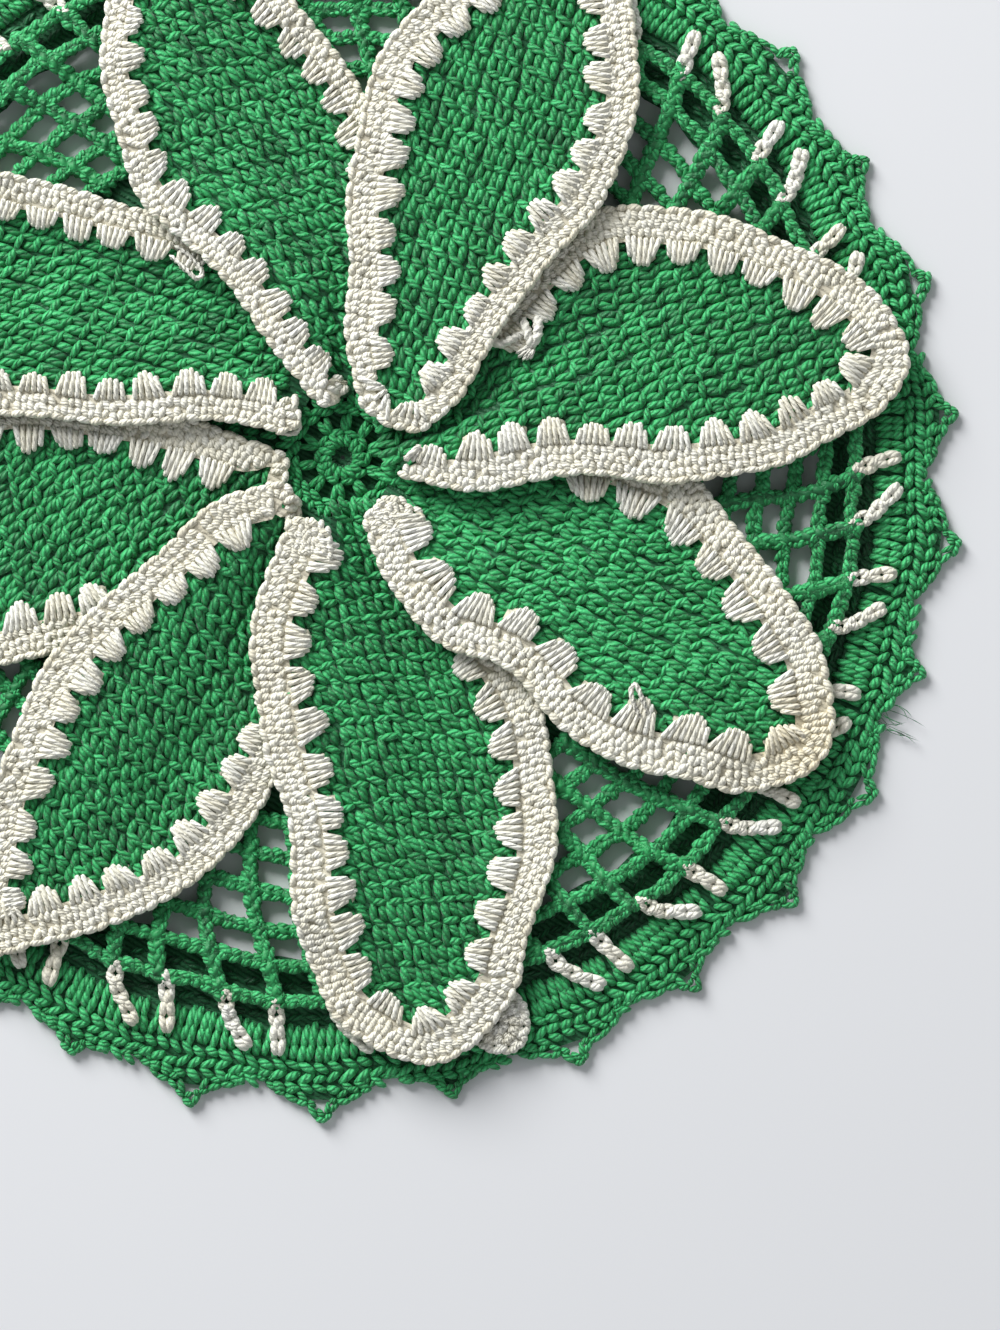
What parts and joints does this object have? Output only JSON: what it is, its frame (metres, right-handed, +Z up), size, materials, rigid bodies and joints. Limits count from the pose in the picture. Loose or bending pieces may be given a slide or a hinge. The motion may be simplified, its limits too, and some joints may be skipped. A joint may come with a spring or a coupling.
{
  "type": "lace doily",
  "caption": "Round crocheted doily that lies flat: overlapping green petals with cream borders on an open net, with a scalloped edge.",
  "frame": {"origin": "centre of the outer rounds, on the surface that the doily lies on", "axes": "+Z up out of the surface, through the right side of the doily; +X and +Y in the surface, with the first petal 13 degrees from +X"},
  "size_m": [0.2115, 0.2109, 0.0067],
  "materials": {
    "green_cotton": "matte plied cotton yarn, crocheted",
    "dark_green_cotton": "matte plied cotton yarn, crocheted",
    "cream_cotton": "matte plied cotton yarn, crocheted"
  },
  "bodies": {
    "root": {"net_ground": "green_cotton", "backing_ring": "dark_green_cotton", "cream_chain_round": "cream_cotton", "scalloped_edge": "green_cotton", "petal_a": "green_cotton", "petal_b": "green_cotton", "petal_c": "green_cotton", "petal_d": "green_cotton", "petal_e": "green_cotton", "petal_f": "green_cotton", "petal_g": "green_cotton", "petal_h": "green_cotton", "petal_border_a": "cream_cotton", "petal_border_b": "cream_cotton", "petal_border_c": "cream_cotton", "petal_border_d": "cream_cotton", "petal_border_e": "cream_cotton", "petal_border_f": "cream_cotton", "petal_border_g": "cream_cotton", "petal_border_h": "cream_cotton"}
  },
  "joints": []
}
